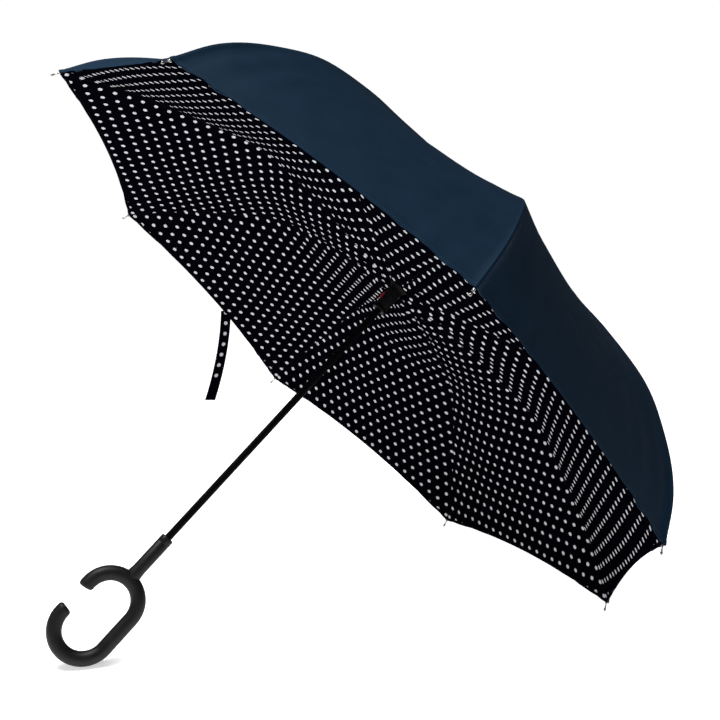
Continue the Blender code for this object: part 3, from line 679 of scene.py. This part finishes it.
# ------------------------------------------------------------------- rib tips
lean = np.array((0.4625, 0.0, -0.8866))
root = np.array((0.52472, 0.0, 0.55136))
for i in range(RIBS):
    c, s_ = math.cos(i * STEP), math.sin(i * STEP)
    rot = np.array([[c, -s_, 0], [s_, c, 0], [0, 0, 1]])
    profile = [(0, 0.0003), (0.0013, 0.0003), (0.0016, 0.0006), (0.0016, 0.0034), (0.0014, 0.0040), (0.0009, 0.0046),
               (0.0008, 0.0070), (0.0009, 0.0096), (0.0011, 0.0103), (0.0015, 0.0110), (0.0017, 0.0120),
               (0.00165, 0.0129), (0.0013, 0.0138), (0.0008, 0.0143), (0, 0.0146)]
    tip = piece(f"ball_tip_{i + 1}", *lathe(profile, 32, rot @ root, rot @ lean), STEEL, None, "bright_steel")
    outward(tip)
    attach(tip, f"outer_rib_{i + 1}")
    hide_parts(f"rib_tip_{i + 1}")

# ---------------------------------------------------------------------- strap
strap_from = sheet("inner", np.array([1.0]), np.array([0.80]), 2)[0]
down = np.array((0.686, 0.097, -0.721))
down /= np.linalg.norm(down)
wide = np.array((-0.718, 0.251, -0.649))
wide -= down * (wide @ down)
wide /= np.linalg.norm(wide)
face = np.cross(down, wide)
length, half_w, rows, cols = 0.156, 0.0088, 60, 8
verts, uvs = [], []
start = strap_from + np.array((0, 0, 0.0010)) - down * 0.003
for j in range(rows + 1):
    f = j / rows
    twist = 0.22 * (1 - f) ** 3 + 0.08 * math.sin(4.5 * f)
    across = wide * math.cos(twist) + face * math.sin(twist)
    bend = wide * (0.0270 * f ** 1.75) + face * (0.006 * math.sin(2.2 * f))
    for k in range(cols + 1):
        g = 2 * k / cols - 1
        verts.append(start + down * (length * f) + bend + across * (half_w * g))
        uvs.append((half_w * g, length * f))
verts = np.array(verts)
grid = verts.reshape(rows + 1, cols + 1, 3)
nrm = np.cross(np.gradient(grid, axis=0), np.gradient(grid, axis=1))
nrm /= np.linalg.norm(nrm, axis=-1)[..., None]
thick = 0.0006 * np.ones((rows + 1, cols + 1))
edge_row = np.abs(np.linspace(-1, 1, cols + 1)) > 0.7
thick[:, edge_row] += 0.0002
thick[-7:, :] += 0.0006                           # the fastener patch at the free end
front_v, back_v = grid + nrm * thick[..., None], grid - nrm * thick[..., None]
all_v = np.concatenate([front_v.reshape(-1, 3), back_v.reshape(-1, 3)])
n, half = cols + 1, (rows + 1) * (cols + 1)
faces, loop_uv = [], []
for j in range(rows):
    for k in range(cols):
        q4 = [j * n + k, (j + 1) * n + k, (j + 1) * n + k + 1, j * n + k + 1]
        faces.append(q4)
        loop_uv += [uvs[x] for x in q4]
        faces.append([x + half for x in q4[::-1]])
        loop_uv += [uvs[x] for x in q4[::-1]]
ring = ([j * n for j in range(rows + 1)] + [rows * n + k for k in range(1, n)]
        + [j * n + n - 1 for j in range(rows - 1, -1, -1)] + [k for k in range(n - 2, 0, -1)])
for a, b in zip(ring, ring[1:] + ring[:1]):
    faces.append([b, a, a + half, b + half])
    loop_uv += [uvs[x % half] for x in (b, a, a, b)]


def strap_material():
    t = Tree("strap_cloth")
    uv = t.node("ShaderNodeUVMap", uv_map="cloth").outputs[0]
    split = t.node("ShaderNodeSeparateXYZ", Vector=uv)
    u, v = split.outputs[0], split.outputs[1]
    weave = t.math("MULTIPLY", t.math("SINE", t.math("MULTIPLY", u, 2 * math.pi / 0.0009)),
                   t.math("SINE", t.math("MULTIPLY", v, 2 * math.pi / 0.0009)))
    slub = t.noise(uv, 420.0, 2.0, 0.6)
    colour = t.mix(t.step(slub, 0.3, 0.7), (0.0009, 0.0009, 0.0022), (0.0018, 0.0018, 0.0038))
    dv = t.math("MULTIPLY", t.math("SUBTRACT", t.math("FRACT", t.math("DIVIDE", t.math("ADD", v, 0.0060), 0.0183)), 0.5), 0.0183)
    du = t.math("ADD", u, t.math("MULTIPLY", t.math("SINE", t.math("MULTIPLY", v, 40.0)), 0.0012))
    away = t.math("SQRT", t.math("ADD", t.math("MULTIPLY", du, du), t.math("MULTIPLY", dv, dv)))
    ink = t.math("MULTIPLY", t.step(away, 0.0029, 0.0034, 1.0, 0.0), t.step(v, 0.1195, 0.1200, 1.0, 0.0))
    colour = t.mix(ink, colour, t.mix(slub, (0.58, 0.58, 0.61), (0.72, 0.72, 0.75)))
    edge_d = t.math("ABSOLUTE", t.math("SUBTRACT", t.math("ABSOLUTE", u), 0.0075))
    dash = t.step(t.math("SINE", t.math("MULTIPLY", v, 2 * math.pi / 0.003)), -0.3, 0.1)
    stitch = t.math("MULTIPLY", t.step(edge_d, 0.0002, 0.0005, 1.0, 0.0), dash)
    colour = t.mix(t.math("MULTIPLY", stitch, 0.5), colour, (0.03, 0.03, 0.035))
    normal = t.bump(weave, 0.2, 0.0002)
    normal = t.bump(stitch, 0.5, 0.0003, normal)
    return t.finish(Base_Color=colour, Roughness=0.66, Normal=normal, Specular_IOR_Level=0.0)


strap = piece("strap_band", all_v, faces, strap_material(), None, "black_dotted_cloth")
strap.data.uv_layers.new(name="cloth").data.foreach_set("uv", np.array(loop_uv, np.float32).ravel())
outward(strap)
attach(strap, "closing_strap")
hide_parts("closing_strap")

# --------------------------------------------------------- floor, light, camera
FLOOR_N = Vector((-0.6934, -0.2872, 0.6608)).normalized()
TOUCH = Vector((0.0331, 0.0027, 0.0146)) - FLOOR_N * 0.0006
side = Vector((0.718, -0.251, 0.649))
side = (side - FLOOR_N * side.dot(FLOOR_N)).normalized()
fwd = FLOOR_N.cross(side).normalized()
mid_floor = TOUCH + side * 0.35 + fwd * 0.2


# floor emission: the lowest level the camera sees, inside the painted contact shadow, and the even level every other
# ray sees, which is painted bounce light
FLOOR_GLOW_IN_PAINTED_SHADOW, FLOOR_BOUNCE = 0.54, 0.52
to_grip = TOUCH - mid_floor
GRIP_SPOT = (to_grip.dot(side), to_grip.dot(fwd), 0.0)


def floor_material():
    t = Tree("pale_floor")
    place = t.node("ShaderNodeTexCoord").outputs["Object"]
    colour = t.mix(t.step(t.noise(place, 3.0, 3.0), 0.3, 0.7), (0.93, 0.93, 0.93), (0.96, 0.96, 0.96))
    t.finish(Base_Color=colour, Roughness=0.8, Specular_IOR_Level=0.1)
    # over-exposed seamless floor that emits light: only a close contact shadow is darker than white. That shadow is
    # painted: the emission the camera sees dips in a small disc round the handle's contact spot, and the rendered
    # shadow shows there. Every other ray sees an even emission from the floor, which is painted bounce light on the
    # parts above it.
    out = t.nt.nodes["Material Output"]
    seen = t.node("ShaderNodeLightPath").outputs["Is Camera Ray"]
    t.put(t.bsdf.inputs["Emission Color"], (1.0, 1.0, 1.0, 1.0))
    away = t.node("ShaderNodeVectorMath", operation="LENGTH")
    shift = t.node("ShaderNodeVectorMath", operation="SUBTRACT")
    t.put(shift.inputs[0], place)
    t.put(shift.inputs[1], GRIP_SPOT)
    t.put(away.inputs[0], shift.outputs["Vector"])
    # painted contact shadow: the emission the camera sees is at its lowest within 2 cm of the grip spot and back to
    # full by 6.4 cm
    painted_shadow_glow = t.step(away.outputs["Value"], 0.020, 0.064, FLOOR_GLOW_IN_PAINTED_SHADOW, 1.0)
    t.put(t.bsdf.inputs["Emission Strength"], t.math("MAXIMUM", t.math("MULTIPLY", seen, painted_shadow_glow), FLOOR_BOUNCE))
    clear = t.node("ShaderNodeBsdfTransparent")
    blend = t.node("ShaderNodeMixShader")
    facing = t.node("ShaderNodeNewGeometry").outputs["Backfacing"]
    t.put(blend.inputs[0], facing)
    t.put(blend.inputs[1], t.bsdf.outputs[0])
    t.put(blend.inputs[2], clear.outputs[0])
    t.put(out.inputs[0], blend.outputs[0])
    return t.mat


bm = bmesh.new()
bmesh.ops.create_grid(bm, x_segments=24, y_segments=24, size=3.0)
mesh = bpy.data.meshes.new("floor")
bm.to_mesh(mesh)
bm.free()
mesh.materials.append(floor_material())
floor = bpy.data.objects.new("floor", mesh)
SCENE.objects.link(floor)
floor.matrix_world = Matrix.Translation(mid_floor) @ Matrix((
    (side.x, fwd.x, FLOOR_N.x, 0), (side.y, fwd.y, FLOOR_N.y, 0), (side.z, fwd.z, FLOOR_N.z, 0), (0, 0, 0, 1)))

world = bpy.data.worlds.new("studio")
bpy.context.scene.world = world
world.use_nodes = True
# the backdrop is white to the camera; the cloth sees a dim room and the lamps
wt = world.node_tree
path = wt.nodes.new("ShaderNodeLightPath")
level = wt.nodes.new("ShaderNodeMath")
level.operation = "MULTIPLY_ADD"
wt.links.new(path.outputs["Is Camera Ray"], level.inputs[0])
level.inputs[1].default_value = 0.94
level.inputs[2].default_value = 0.08
wt.nodes["Background"].inputs[0].default_value = (1.0, 1.0, 1.0, 1.0)
wt.links.new(level.outputs[0], wt.nodes["Background"].inputs[1])


def lamp(name, place, size, power, aim=(0.05, 0, 0.55), glossy=True):
    light = bpy.data.lights.new(name, "AREA")
    light.shape, light.size, light.energy = "DISK", size, power
    obj = bpy.data.objects.new(name, light)
    SCENE.objects.link(obj)
    obj.location = place
    obj.rotation_euler = (Vector(aim) - Vector(place)).to_track_quat("-Z", "Y").to_euler()
    obj.visible_glossy = glossy
    return obj


centre = Vector((0.05, 0.0, 0.55))
to_cam = Vector((-0.118, -0.963, -0.242)).normalized()
lamp("key", centre + (FLOOR_N * 2.4 - side * 0.95 + to_cam * 0.2), 1.2, 62)
lamp("front", centre + (FLOOR_N * 0.1 - side * 1.5 + to_cam * 2.2), 2.2, 20, glossy=False)

CAM_AT = Vector((-0.15802, -1.55119, 0.16571))
CAM_VIEW = Vector((0.115879, 0.963624, 0.240832)).normalized()
CAM_UP = Vector((-0.691212, -0.09589, 0.716262))
CAM_RIGHT = CAM_VIEW.cross(CAM_UP).normalized()
CAM_UP = CAM_RIGHT.cross(CAM_VIEW)
camera_data = bpy.data.cameras.new("camera")
camera_data.sensor_width = 36.0
camera_data.lens = 58.3
camera_data.clip_end = 30.0
camera = bpy.data.objects.new("camera", camera_data)
SCENE.objects.link(camera)
camera.matrix_world = Matrix((
    (CAM_RIGHT.x, CAM_UP.x, -CAM_VIEW.x, CAM_AT.x), (CAM_RIGHT.y, CAM_UP.y, -CAM_VIEW.y, CAM_AT.y),
    (CAM_RIGHT.z, CAM_UP.z, -CAM_VIEW.z, CAM_AT.z), (0, 0, 0, 1)))
bpy.context.scene.camera = camera
bpy.context.scene.view_settings.view_transform = "Standard"
